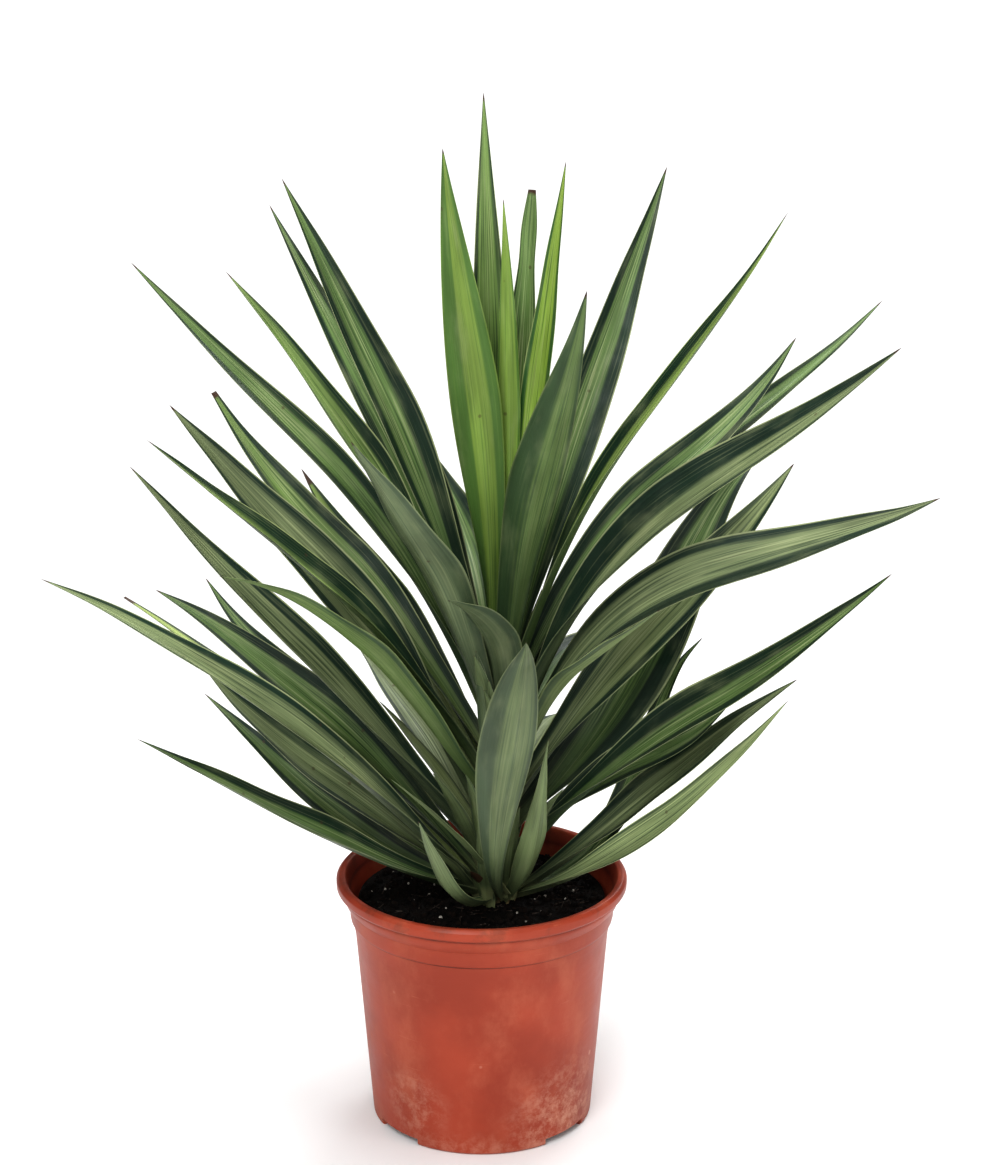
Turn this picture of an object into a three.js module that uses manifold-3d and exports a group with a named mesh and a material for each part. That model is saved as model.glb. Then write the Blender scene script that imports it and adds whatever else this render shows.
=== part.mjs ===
// A yucca in a plastic nursery pot: pot, soil, stem and one solid for each leaf.
// Millimetres, +Z up. The origin is the centre of the pot's underside, and -Y is the front.
// Each leaf is a thin blade, folded along its middle, that starts on the stem's surface.

import * as THREE from "three";
import { mergeVertices } from "three/addons/utils/BufferGeometryUtils.js";
import Module from "manifold-3d";

// Driving dimensions
const POT_HEIGHT = 168;
const RIM_RADIUS = 95; // outside of the lip
const FOOT_RADIUS = 72.4; // outside of the pot where it stands
const POT_WALL = 1.9;
const LIP_WIDTH = 5.6; // flat ring on top of the lip, seen from above
const LIP_DEPTH = 8; // height of the lip's outer band
const COLLAR_INSET = 8; // how far the collar under the lip stands in from the rim
const COLLAR_HEIGHT = 29.5; // from the rim down to the step where the collar ends
const STEP_WIDTH = 2;
const NOTCH_HEIGHT = 5; // drain openings around the foot
const NOTCH_SPAN = 30; // degrees of the foot that each opening takes
const NOTCH_BEARINGS = [50, 130, -50, -130]; // degrees from the front, -Y
const BASE_PAD_RADIUS = 30; // flat middle of the underside that touches the floor
const CHANNEL_HEIGHT = 3; // drain channel around that pad
const SOIL_BELOW_RIM = 16;
const SOIL_DOME = 3; // the soil stands this much higher round the stem
const STEM_X = 12; // the plant stands a little off the pot's middle
const STEM_Y = -8;
const STEM_RADIUS = 11; // at the soil
const STEM_TOP_RADIUS = 6;
const STEM_LENGTH = 212; // above the soil
const STEM_BURIED = 40;
const LEAF_THICKNESS = 1.5; // at the middle of the blade, half way along
const GAP = 0.3; // clearance between pieces that touch

const POT_SIDES = 48;
const STEM_SIDES = 16;
const SOIL_TOP = POT_HEIGHT - SOIL_BELOW_RIM;

const wasm = await Module();
wasm.setup();

// Finishes
const finish = (color, roughness) => new THREE.MeshStandardMaterial({ color, roughness, metalness: 0 });
const FINISHES = {
  pot: finish(0xb4563c, 0.5),
  soil: finish(0x17110d, 0.95),
  stem: finish(0x8a8a55, 0.7),
  heart: finish(0x86a83c, 0.5),
  blade: finish(0x4f7048, 0.5),
  skirt: finish(0x5f7352, 0.55),
};

const plant = new THREE.Group();

function add(name, geometry, material) {
  geometry.computeVertexNormals();
  const mesh = new THREE.Mesh(geometry, material);
  mesh.name = name;
  plant.add(mesh);
  return mesh;
}

// A closed geometry as a manifold-3d solid, and back.
function solidOf(geometry) {
  const bare = geometry.clone();
  bare.deleteAttribute("normal");
  bare.deleteAttribute("uv");
  const merged = mergeVertices(bare, 1e-4);
  return new wasm.Manifold(
    new wasm.Mesh({
      numProp: 3,
      vertProperties: merged.attributes.position.array,
      triVerts: new Uint32Array(merged.index.array),
    }),
  );
}

function geometryOf(solid) {
  const mesh = solid.getMesh();
  return new THREE.BufferGeometry()
    .setAttribute("position", new THREE.BufferAttribute(mesh.vertProperties, 3))
    .setIndex(new THREE.BufferAttribute(mesh.triVerts, 1));
}

// A solid turned about +Z from a profile of [radius, height] points, outside going up.
function turned(profile, sides) {
  const points = profile.map(([r, z]) => new THREE.Vector2(r, z));
  return new THREE.LatheGeometry(points, sides).rotateX(Math.PI / 2);
}

// The pot's outside, from the foot up to the lip
const STEP_Z = POT_HEIGHT - COLLAR_HEIGHT;
const LIP_Z = POT_HEIGHT - LIP_DEPTH;
const COLLAR_RADIUS = RIM_RADIUS - COLLAR_INSET - 0.4;
const SHOULDER_RADIUS = COLLAR_RADIUS - STEP_WIDTH;
const BODY_TOP = { r: SHOULDER_RADIUS - 1.7, z: STEP_Z - 9.5 };
const FOOT_CHAMFER = 1.5;
const bodyRadius = (z) => FOOT_RADIUS + ((BODY_TOP.r - FOOT_RADIUS) * z) / BODY_TOP.z;
const innerRadius = (z) => bodyRadius(Math.min(z, BODY_TOP.z)) - POT_WALL;

function pot() {
  const floor = CHANNEL_HEIGHT + POT_WALL;
  const outside = [
    [0, 0],
    [BASE_PAD_RADIUS, 0],
    [BASE_PAD_RADIUS + 3, CHANNEL_HEIGHT],
    [FOOT_RADIUS - 9, CHANNEL_HEIGHT],
    [FOOT_RADIUS - 6, 0],
    [FOOT_RADIUS - FOOT_CHAMFER, 0],
    [bodyRadius(FOOT_CHAMFER), FOOT_CHAMFER],
    [BODY_TOP.r, BODY_TOP.z],
    [SHOULDER_RADIUS, STEP_Z - 1],
    [COLLAR_RADIUS - 0.6, STEP_Z],
    [COLLAR_RADIUS, LIP_Z - 11],
    [RIM_RADIUS - 5, LIP_Z - 8],
    [RIM_RADIUS - 1.8, LIP_Z - 3],
    [RIM_RADIUS - 1.4, LIP_Z],
    [RIM_RADIUS, LIP_Z + 1.6],
    [RIM_RADIUS, POT_HEIGHT - 1.6],
    [RIM_RADIUS - 1.4, POT_HEIGHT],
  ];
  const inside = [
    [RIM_RADIUS - LIP_WIDTH, POT_HEIGHT],
    [RIM_RADIUS - LIP_WIDTH - 0.8, POT_HEIGHT - 1],
    [COLLAR_RADIUS - POT_WALL, LIP_Z - 6],
    [SHOULDER_RADIUS - POT_WALL, STEP_Z],
    [BODY_TOP.r - POT_WALL, BODY_TOP.z],
    [innerRadius(floor), floor],
    [BASE_PAD_RADIUS + 2, floor],
    [BASE_PAD_RADIUS - 1, POT_WALL],
    [0, POT_WALL],
  ];
  let body = solidOf(turned([...outside, ...inside], POT_SIDES));
  for (const bearing of NOTCH_BEARINGS) body = body.subtract(notch(bearing));
  return geometryOf(body);
}

// A drain opening through the foot and the corner of the floor, as a wedge of a ring
function notch(bearing) {
  const span = THREE.MathUtils.degToRad(NOTCH_SPAN);
  const middle = THREE.MathUtils.degToRad(bearing) - Math.PI / 2;
  const shape = new THREE.Shape()
    .absarc(0, 0, FOOT_RADIUS - 7.5, middle - span / 2, middle + span / 2, false)
    .absarc(0, 0, FOOT_RADIUS + 12, middle + span / 2, middle - span / 2, true);
  const cutter = new THREE.ExtrudeGeometry(shape, {
    depth: NOTCH_HEIGHT + 1,
    bevelEnabled: false,
    curveSegments: 6,
  });
  return solidOf(cutter.translate(0, 0, -1));
}

function stemRadius(z) {
  const share = THREE.MathUtils.clamp((z - SOIL_TOP) / STEM_LENGTH, 0, 1);
  return STEM_RADIUS + (STEM_TOP_RADIUS - STEM_RADIUS) * share;
}

// The stem, thickest at the soil. grow widens it all round, for the hole that it stands in.
function stem(grow = 0) {
  const top = SOIL_TOP + STEM_LENGTH;
  const bottom = SOIL_TOP - STEM_BURIED;
  const profile = [
    [0, bottom - grow],
    [STEM_RADIUS * 0.55 + grow, bottom - grow],
    [STEM_RADIUS + 1.5 + grow, bottom + 9],
    [STEM_RADIUS + grow, SOIL_TOP],
    [stemRadius(SOIL_TOP + STEM_LENGTH / 2) + grow, SOIL_TOP + STEM_LENGTH / 2],
    [STEM_TOP_RADIUS + grow, top - 4],
    [STEM_TOP_RADIUS * 0.5 + grow, top + grow],
    [0, top + grow],
  ];
  return turned(profile, STEM_SIDES).translate(STEM_X, STEM_Y, 0);
}

// The soil fills the pot below the rim, with a hole for the stem's buried end.
function soil() {
  const floor = CHANNEL_HEIGHT + POT_WALL + GAP;
  const profile = [
    [0, floor],
    [innerRadius(floor) - GAP, floor],
    [innerRadius(BODY_TOP.z) - GAP, BODY_TOP.z],
    [innerRadius(BODY_TOP.z) - GAP, SOIL_TOP - 1],
    [innerRadius(BODY_TOP.z) - 4, SOIL_TOP],
    [RIM_RADIUS * 0.45, SOIL_TOP + SOIL_DOME * 0.6],
    [STEM_RADIUS * 1.8, SOIL_TOP + SOIL_DOME],
    [0, SOIL_TOP + SOIL_DOME],
  ];
  return geometryOf(solidOf(turned(profile, POT_SIDES)).subtract(solidOf(stem(GAP))));
}

add("pot", pot(), FINISHES.pot);
add("soil", soil(), FINISHES.soil);
add("stem", stem(), FINISHES.stem);

// Leaves
const BLADE_STATIONS = 11; // cross-sections along a leaf, besides its point
const WIDEST_AT = 0.46; // share of the length where a blade is widest
const FOOT_SHARE = 0.46; // width of a blade where it leaves the stem, as a share of its widest
const FOLD = 0.12; // how far a blade's edges stand above its middle, as a share of its width
const TURN_DONE = 0.35; // share of the length by which a blade has made its turn

// Each row is one leaf:
// from - height on the stem where it starts, above the soil
// tip - where it ends, measured from where the stem leaves the soil
// width - at its widest
// arch - how far its middle line stands above a straight line, a third and two thirds along
// bow - the same to its left, seen from its foot
// turn - degrees that the blade is rolled about its length
// blunt - share of the width that a cut or withered tip keeps
const LEAVES = {
  // upright leaves at the heart, the youngest and brightest
  heart_leaf_1: { look: "heart", from: 208, tip: [2, -6, 462], width: 15, bow: [3, 3], turn: -14 },
  heart_leaf_2: { look: "heart", from: 201, tip: [-34, -35, 497], width: 34, bow: [6, 2], turn: 44 },
  heart_leaf_3: { look: "heart", from: 198, tip: [40, 5, 483], width: 20, turn: 50 },
  heart_leaf_4: { look: "blade", from: 196, tip: [-10, 16, 523], width: 24, turn: -20 },
  heart_leaf_5: { look: "blade", from: 211, tip: [20, 32, 461], width: 15, turn: 18, blunt: 0.5 },
  // long leaves that spread from the crown
  crown_leaf_1: { look: "blade", from: 168, tip: [49, -140, 433], width: 38, arch: [14, 5], turn: -22 },
  crown_leaf_2: { look: "blade", from: 192, tip: [108, 120, 461], width: 30, turn: 60 },
  crown_leaf_3: { look: "blade", from: 188, tip: [168, -70, 465], width: 23, arch: [5, 0], turn: 34 },
  crown_leaf_4: { look: "blade", from: 190, tip: [-136, 50, 465], width: 32, turn: -28 },
  crown_leaf_5: { look: "blade", from: 158, tip: [-96, 150, 367], width: 30, turn: -30 },
  crown_leaf_6: { look: "blade", from: 186, tip: [-149, 110, 438], width: 22, turn: -40 },
  crown_leaf_7: { look: "blade", from: 180, tip: [-160, -80, 432], width: 32, bow: [-5, 10], turn: -45 },
  crown_leaf_8: { look: "skirt", from: 158, tip: [-85, -150, 348], width: 34 },
  crown_leaf_9: { look: "blade", from: 168, tip: [-227, 10, 420], width: 27, arch: [7, 3], turn: -30 },
  crown_leaf_10: { look: "blade", from: 173, tip: [193, 100, 353], width: 30, arch: [5, -5], turn: 35 },
  crown_leaf_11: { look: "blade", from: 158, tip: [255, 150, 367], width: 22, arch: [20, 8], turn: 25 },
  crown_leaf_12: { look: "blade", from: 146, tip: [235, -90, 389], width: 40, arch: [20, 10], turn: 40 },
  // the middle tier, which leans out further
  middle_leaf_1: { look: "blade", from: 140, tip: [-188, 100, 316], width: 32, arch: [-10, -12], turn: -23, blunt: 0.3 },
  middle_leaf_2: { look: "blade", from: 130, tip: [-132, 110, 262], width: 24, arch: [-8, -8], turn: -30 },
  middle_leaf_3: { look: "blade", from: 128, tip: [-211, -70, 328], width: 28, turn: -20 },
  middle_leaf_4: { look: "skirt", from: 98, tip: [-204, -10, 335], width: 39, arch: [1, 0], turn: -45 },
  middle_leaf_5: { look: "skirt", from: 78, tip: [-222, -70, 312], width: 38, arch: [-15, -12], turn: -28 },
  middle_leaf_6: { look: "blade", from: 68, tip: [-200, 130, 180], width: 24, arch: [-15, -20], turn: -30 },
  middle_leaf_7: { look: "blade", from: 117, tip: [-166, -120, 258], width: 28, arch: [0, 10], turn: 10 },
  middle_leaf_8: { look: "blade", from: 90, tip: [176, 140, 265], width: 48, arch: [-28, -5], turn: 60 },
  middle_leaf_9: { look: "skirt", from: 110, tip: [190, 60, 279], width: 36, arch: [-10, -10], turn: 45 },
  middle_leaf_10: { look: "blade", from: 140, tip: [265, -70, 292], width: 42, arch: [20, 10], turn: 35 },
  middle_leaf_11: { look: "skirt", from: 125, tip: [94, -130, 241], width: 20, turn: 10 },
  middle_leaf_12: { look: "blade", from: 80, tip: [232, -110, 257], width: 33, arch: [-15, -14], turn: 40 },
  middle_leaf_13: { look: "blade", from: 66, tip: [153, -20, 156], width: 28, arch: [-8, -14], turn: 35 },
  // the lowest leaves, which lean out over the rim
  skirt_leaf_1: { look: "skirt", from: 38, tip: [-267, -140, 263], width: 32, arch: [0, 5], turn: -30 },
  skirt_leaf_2: { look: "skirt", from: 46, tip: [-260, 160, 156], width: 20, arch: [-10, -5], blunt: 0.3 },
  skirt_leaf_3: { look: "blade", from: 56, tip: [-225, 55, 195], width: 31, arch: [-5, 1], turn: -35 },
  skirt_leaf_4: { look: "blade", from: 14, tip: [-219, -110, 153], width: 28, arch: [-12, -8], turn: -20 },
  skirt_leaf_5: { look: "blade", from: 22, tip: [-199, 90, 111], width: 22, arch: [-26, -18], turn: -30 },
  skirt_leaf_6: { look: "skirt", from: 28, tip: [-190, -10, 167], width: 30, arch: [-14, -14], turn: -30 },
  skirt_leaf_7: { look: "blade", from: 12, tip: [-123, 90, 61], width: 28, arch: [-15, -10], turn: -30 },
  skirt_leaf_8: { look: "blade", from: 10, tip: [135, 80, 154], width: 18, arch: [-35, -12], turn: 30 },
  skirt_leaf_9: { look: "skirt", from: 28, tip: [187, -30, 163], width: 28, arch: [-12, -6], turn: 30 },
  skirt_leaf_10: { look: "skirt", from: 18, tip: [171, -130, 185], width: 33, arch: [-22, -18], turn: 45 },
  // short young leaves in front of the stem
  front_leaf_1: { look: "skirt", from: 26, tip: [15, -170, 234], width: 44, arch: [-18, 8], bow: [-9, -1] },
  front_leaf_2: { look: "skirt", from: 132, tip: [-31, -110, 240], width: 28, arch: [15, 15], bow: [10, 5] },
  front_leaf_3: { look: "heart", from: 6, tip: [30, -82, 143], width: 20, arch: [-10, -5], bow: [4, 3] },
  front_leaf_4: { look: "skirt", from: 8, tip: [-50, -100, 96], width: 22, arch: [-20, -15] },
  front_leaf_5: { look: "skirt", from: 95, tip: [-15, -60, 192], width: 12, arch: [-5, 0] },
  front_leaf_6: { look: "heart", from: 30, tip: [-22, -60, 111], width: 10, arch: [-5, 0] },
  // leaves on the far side, behind the mass of the others
  back_leaf_1: { look: "blade", from: 180, tip: [34, 110, 322], width: 34 },
  back_leaf_2: { look: "blade", from: 150, tip: [-48, 200, 250], width: 36, arch: [15, 10] },
  back_leaf_3: { look: "blade", from: 120, tip: [109, 190, 133], width: 36, arch: [10, 5] },
  back_leaf_4: { look: "skirt", from: 60, tip: [40, 190, 60], width: 34, arch: [5, 5] },
  back_leaf_5: { look: "skirt", from: 40, tip: [-100, 190, 110], width: 32, arch: [5, 5] },
  back_leaf_6: { look: "skirt", from: 30, tip: [-35, 210, 50], width: 30, arch: [5, 5] },
};

// Share of a blade's full width at t, 0 to 1 along it: a narrow foot, then a long point
function taper(t, blunt) {
  if (t < WIDEST_AT) return FOOT_SHARE + (1 - FOOT_SHARE) * THREE.MathUtils.smoothstep(t, 0, WIDEST_AT);
  const left = (1 - t) / (1 - WIDEST_AT);
  return Math.max(1 - (1 - left) ** 1.6, blunt);
}

// The middle line of a leaf, and the level direction across it
function spine({ from, tip, arch = [0, 0], bow = [0, 0] }) {
  const root = new THREE.Vector3(STEM_X, STEM_Y, SOIL_TOP);
  const end = new THREE.Vector3(...tip).add(root);
  const heading = new THREE.Vector3(tip[0], tip[1], 0).normalize();
  const side = new THREE.Vector3(-heading.y, heading.x, 0);
  const start = new THREE.Vector3(0, 0, from)
    .add(root)
    .addScaledVector(heading, stemRadius(SOIL_TOP + from) + GAP + LEAF_THICKNESS);
  const chord = end.clone().sub(start);
  const lift = new THREE.Vector3().crossVectors(chord, side).normalize();
  const control = (share, near, far) =>
    start
      .clone()
      .addScaledVector(chord, share)
      .addScaledVector(lift, 3 * arch[near] - 1.5 * arch[far])
      .addScaledVector(side, 3 * bow[near] - 1.5 * bow[far]);
  const curve = new THREE.CubicBezierCurve3(start, control(1 / 3, 0, 1), control(2 / 3, 1, 0), end);
  return { curve, side };
}

// One leaf as a closed skin: a ring of four points at each cross-section, and one at its tip
function leaf({ width, turn = 0, blunt = 0, ...path }) {
  const { curve, side } = spine(path);
  const points = [];
  for (let i = 0; i < BLADE_STATIONS; i++) {
    const t = i / BLADE_STATIONS;
    const middle = curve.getPointAt(t);
    const along = curve.getTangentAt(t);
    const roll = THREE.MathUtils.degToRad(turn) * THREE.MathUtils.smoothstep(t, 0, TURN_DONE);
    const across = side.clone().projectOnPlane(along).normalize().applyAxisAngle(along, roll);
    const face = new THREE.Vector3().crossVectors(along, across);
    const half = (width * taper(t, blunt)) / 2;
    const thick = (LEAF_THICKNESS * (1.5 - t)) / 2;
    const at = (s, n) => middle.clone().addScaledVector(across, s).addScaledVector(face, n);
    const rise = half * 2 * FOLD;
    points.push(at(half, rise), at(0, thick), at(-half, rise), at(0, -thick));
  }
  const tipIndex = points.length;
  points.push(curve.getPointAt(1));

  const index = [0, 2, 1, 0, 3, 2];
  for (let i = 0; i < BLADE_STATIONS; i++) {
    for (let k = 0; k < 4; k++) {
      const a = 4 * i + k;
      const b = 4 * i + ((k + 1) % 4);
      if (i === BLADE_STATIONS - 1) index.push(a, b, tipIndex);
      else index.push(a, b, a + 4, b, b + 4, a + 4);
    }
  }
  return new THREE.BufferGeometry().setFromPoints(points).setIndex(index);
}

for (const [name, { look, ...form }] of Object.entries(LEAVES)) add(name, leaf(form), FINISHES[look]);

export default plant;
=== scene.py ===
"""A yucca in a plastic nursery pot, finished over its packed CAD model.

Laid out as an add-on and run as a script. Each operator adds one piece, or one group of like
pieces, with its material. The sizes and colours that a user would change are scene properties,
shown in the sidebar. Metres, +Z up, and -Y is the front.
"""

import math
import random

import bmesh
import bpy
from bpy.props import FloatProperty, FloatVectorProperty, IntProperty, PointerProperty
from mathutils import Color, Euler, Matrix, Vector, noise
from mathutils.geometry import interpolate_bezier


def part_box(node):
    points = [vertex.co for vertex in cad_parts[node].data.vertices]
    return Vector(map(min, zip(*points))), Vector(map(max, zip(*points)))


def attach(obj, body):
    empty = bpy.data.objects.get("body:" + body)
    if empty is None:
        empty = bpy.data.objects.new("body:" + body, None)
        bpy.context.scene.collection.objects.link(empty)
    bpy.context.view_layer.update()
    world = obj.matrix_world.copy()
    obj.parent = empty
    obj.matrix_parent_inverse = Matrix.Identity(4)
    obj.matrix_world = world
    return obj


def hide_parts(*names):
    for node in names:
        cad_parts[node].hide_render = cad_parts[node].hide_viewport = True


bl_info = {
    "name": "Potted yucca",
    "version": (1, 0, 0),
    "blender": (4, 5, 0),
    "location": "View3D > Sidebar > Yucca",
    "description": "Adds a yucca in a nursery pot, piece by piece, over its CAD frame",
    "category": "Object",
}

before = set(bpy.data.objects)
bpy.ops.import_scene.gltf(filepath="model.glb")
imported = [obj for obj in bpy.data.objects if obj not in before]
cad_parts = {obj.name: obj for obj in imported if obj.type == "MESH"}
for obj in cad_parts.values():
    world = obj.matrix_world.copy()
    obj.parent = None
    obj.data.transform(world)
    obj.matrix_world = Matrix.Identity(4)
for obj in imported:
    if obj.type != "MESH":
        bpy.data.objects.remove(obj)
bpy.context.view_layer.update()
POT_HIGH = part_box("pot")[1]
SOIL_LOW, SOIL_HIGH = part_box("soil")
STEM_LOW, STEM_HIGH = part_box("stem")
STEM_X = (STEM_LOW.x + STEM_HIGH.x) / 2
STEM_Y = (STEM_LOW.y + STEM_HIGH.y) / 2
GOLDEN_ANGLE = math.radians(137.5)
POT_CREASE = POT_HIGH.z - 0.0092  # height of the crease under the lip
POT_STEP = POT_HIGH.z - 0.0299  # height of the step under the collar


# Properties


def srgb(red, green, blue):
    """A colour given as three numbers up to 255, as scene linear values."""
    return tuple(Color((red / 255, green / 255, blue / 255)).from_srgb_to_scene_linear())


def tint(name, description, default):
    return FloatVectorProperty(
        name=name, description=description, subtype="COLOR", size=3, min=0, max=1, default=default
    )


def length(name, description, default):
    return FloatProperty(
        name=name, description=description, default=default, min=0, precision=4, unit="LENGTH"
    )


class YuccaPot(bpy.types.PropertyGroup):
    """Sizes and colours of the pot"""

    height: length("Height", "From the floor to the top of the lip", POT_HIGH.z)
    rim_radius: length("Rim radius", "To the outside of the lip", POT_HIGH.x)
    foot_radius: length("Foot radius", "To the outside of the pot where it stands", 0.0724)
    wall: length("Wall", "Thickness of the wall", 0.0019)
    lip_width: length("Lip width", "Flat ring on top of the lip", 0.0056)
    lip_depth: length("Lip depth", "Height of the lip's outer band", 0.008)
    collar_inset: length("Collar inset", "How far the collar stands in from the lip", 0.0084)
    collar_height: length("Collar height", "From the rim down to the step", 0.0295)
    notch_height: length("Notch height", "Height of the drain openings in the foot", 0.005)
    clay: tint("Clay", "Main colour of the plastic", srgb(160, 66, 43))
    clay_dark: tint("Dark clay", "Colour of its darker clouds", srgb(141, 55, 35))
    clay_faded: tint("Faded clay", "Colour where the plastic has rubbed pale", srgb(182, 102, 76))
    lime: tint("Lime", "Colour of dried water marks", srgb(214, 166, 142))


class YuccaSoil(bpy.types.PropertyGroup):
    """Sizes and colours of the potting soil"""

    lumps: length("Lumps", "How far the surface rises and falls", 0.0032)
    crumbs: IntProperty(name="Crumbs", description="Loose crumbs on top", default=1500, min=0)
    fibres: IntProperty(name="Fibres", description="Peat fibres on top", default=170, min=0)
    grains: IntProperty(name="Grains", description="Pale mineral grains", default=46, min=0)
    peat: tint("Peat", "Colour of the damp peat", srgb(9, 6, 5))
    peat_dry: tint("Dry peat", "Colour of dry crumbs and fibres", srgb(44, 31, 23))
    grain: tint("Grain", "Colour of the mineral grains", srgb(196, 190, 180))


class YuccaLeaves(bpy.types.PropertyGroup):
    """Sizes and colours of the leaves and the stem"""

    thickness: length("Thickness", "Of a blade at its middle", 0.0013)
    wave: length("Edge wave", "How far the edges rise and fall along a blade", 0.0007)
    heart_centre: tint("Heart centre", "Middle band of the young leaves", srgb(122, 156, 62))
    heart_margin: tint("Heart margin", "Outer bands of the young leaves", srgb(44, 84, 34))
    green_centre: tint("Green centre", "Middle band of the grown leaves", srgb(94, 118, 68))
    green_margin: tint("Green margin", "Outer bands of the grown leaves", srgb(18, 42, 26))
    grey_centre: tint("Grey centre", "Middle band of the oldest leaves", srgb(112, 124, 88))
    grey_margin: tint("Grey margin", "Outer bands of the oldest leaves", srgb(26, 46, 34))
    warm: tint("Warm stripe", "Colour that brighter leaves turn to", srgb(150, 168, 74))
    pale_edge: tint("Pale edge", "Thin line along both edges", srgb(164, 172, 128))
    spine: tint("Spine", "Colour of the dry point", srgb(66, 46, 34))
    foot: tint("Foot", "Colour of a blade where it leaves the stem", srgb(150, 156, 112))
    bark: tint("Bark", "Colour of the stem", srgb(118, 106, 72))


class YuccaStage(bpy.types.PropertyGroup):
    """The floor, lights and camera"""

    floor: tint("Floor", "Colour of the floor", srgb(243, 243, 243))
    sky: FloatProperty(name="Sky", description="Strength of the even light", default=0.18, min=0)
    key: FloatProperty(name="Key", description="Front light in watts", default=49, min=0)
    fill: FloatProperty(name="Fill", description="Side light in watts", default=12, min=0)
    top: FloatProperty(name="Top", description="Overhead light in watts", default=46, min=0)
    back: FloatProperty(name="Back", description="Light from behind in watts", default=20, min=0)
    eye: FloatVectorProperty(
        name="Camera",
        description="Where the camera stands",
        default=(0.012, -1.748, 0.913),
        subtype="TRANSLATION",
    )
    tilt: FloatProperty(
        name="Tilt",
        description="Downward tilt of the camera",
        default=math.radians(17.37),
        subtype="ANGLE",
    )
    lens: FloatProperty(name="Lens", description="Focal length in mm", default=89.3, min=1)


# Node helpers


def node(tree, kind, inputs=(), **settings):
    """A shader node with its settings made, its inputs given values or joined to sockets."""
    made = tree.nodes.new("ShaderNode" + kind)
    for key, value in settings.items():
        setattr(made, key, value)
    for key, value in dict(inputs).items():
        if isinstance(value, bpy.types.NodeSocket):
            tree.links.new(value, made.inputs[key])
        else:
            made.inputs[key].default_value = value
    return made


def maths(tree, operation, a, b=0.0):
    return node(tree, "Math", {0: a, 1: b}, operation=operation).outputs[0]


def plus(tree, a, b):
    return maths(tree, "ADD", a, b)


def less(tree, a, b):
    return maths(tree, "SUBTRACT", a, b)


def times(tree, a, b):
    return maths(tree, "MULTIPLY", a, b)


def ramp(tree, value, low, high, to_low=0.0, to_high=1.0):
    """value brought smoothly from the range low to high to the range to_low to to_high."""
    inputs = {"Value": value, "From Min": low, "From Max": high, "To Min": to_low, "To Max": to_high}
    return node(tree, "MapRange", inputs, interpolation_type="SMOOTHSTEP").outputs[0]


def mixed(tree, factor, a, b, blend="MIX"):
    """Two colours mixed by factor."""
    a, b = (c if isinstance(c, bpy.types.NodeSocket) else (*c, 1)[:4] for c in (a, b))
    made = node(tree, "Mix", {0: factor, 6: a, 7: b}, data_type="RGBA", blend_type=blend)
    return made.outputs[2]


def scaled(tree, vector, x, y, z):
    made = node(tree, "VectorMath", {0: vector, 1: (x, y, z)}, operation="MULTIPLY")
    return made.outputs[0]


def split(tree, vector):
    return node(tree, "SeparateXYZ", {0: vector}).outputs


def grey(tree, value):
    """The grey whose three channels are value."""
    return node(tree, "CombineColor", {0: value, 1: value, 2: value}).outputs[0]


def distance(tree, vector, spot):
    made = node(tree, "VectorMath", {0: vector, 1: spot}, operation="DISTANCE")
    return made.outputs["Value"]


def stored(tree, name):
    """What blade() has stored on the mesh under a name."""
    return node(tree, "Attribute", attribute_name=name).outputs["Vector"]


def cloud(tree, vector, scale, detail=2.0, roughness=0.5):
    """Noise from 0 to 1."""
    inputs = {"Vector": vector, "Scale": scale, "Detail": detail, "Roughness": roughness}
    return node(tree, "TexNoise", inputs).outputs["Fac"]


def group(name, inputs, outputs):
    """An empty shader node group with the given sockets, and its input and output nodes."""
    tree = bpy.data.node_groups.new(name, "ShaderNodeTree")
    for in_out, sockets in (("INPUT", inputs), ("OUTPUT", outputs)):
        for label, kind in sockets.items():
            tree.interface.new_socket(label, in_out=in_out, socket_type="NodeSocket" + kind)
    return tree, tree.nodes.new("NodeGroupInput").outputs, tree.nodes.new("NodeGroupOutput").inputs


def specks_group():
    """Scattered round spots. Rarity is the share of cells that hold none."""
    found = bpy.data.node_groups.get("specks")
    if found:
        return found
    inputs = {"Vector": "Vector", "Scale": "Float", "Rarity": "Float", "Size": "Float"}
    tree, given, out = group("specks", inputs, {"Mask": "Float"})
    cells = node(tree, "TexVoronoi", {"Vector": given["Vector"], "Scale": given["Scale"]})
    draw = node(tree, "SeparateColor", {0: cells.outputs["Color"]}).outputs[0]
    chosen = maths(tree, "GREATER_THAN", draw, given["Rarity"])
    near = less(tree, 1.0, maths(tree, "DIVIDE", cells.outputs["Distance"], given["Size"]))
    tree.links.new(times(tree, chosen, ramp(tree, near, 0.0, 0.5)), out["Mask"])
    return tree


def specks(tree, vector, scale, rarity, size):
    inputs = {"Vector": vector, "Scale": scale, "Rarity": rarity, "Size": size}
    return node(tree, "Group", inputs, node_tree=specks_group()).outputs["Mask"]


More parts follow.
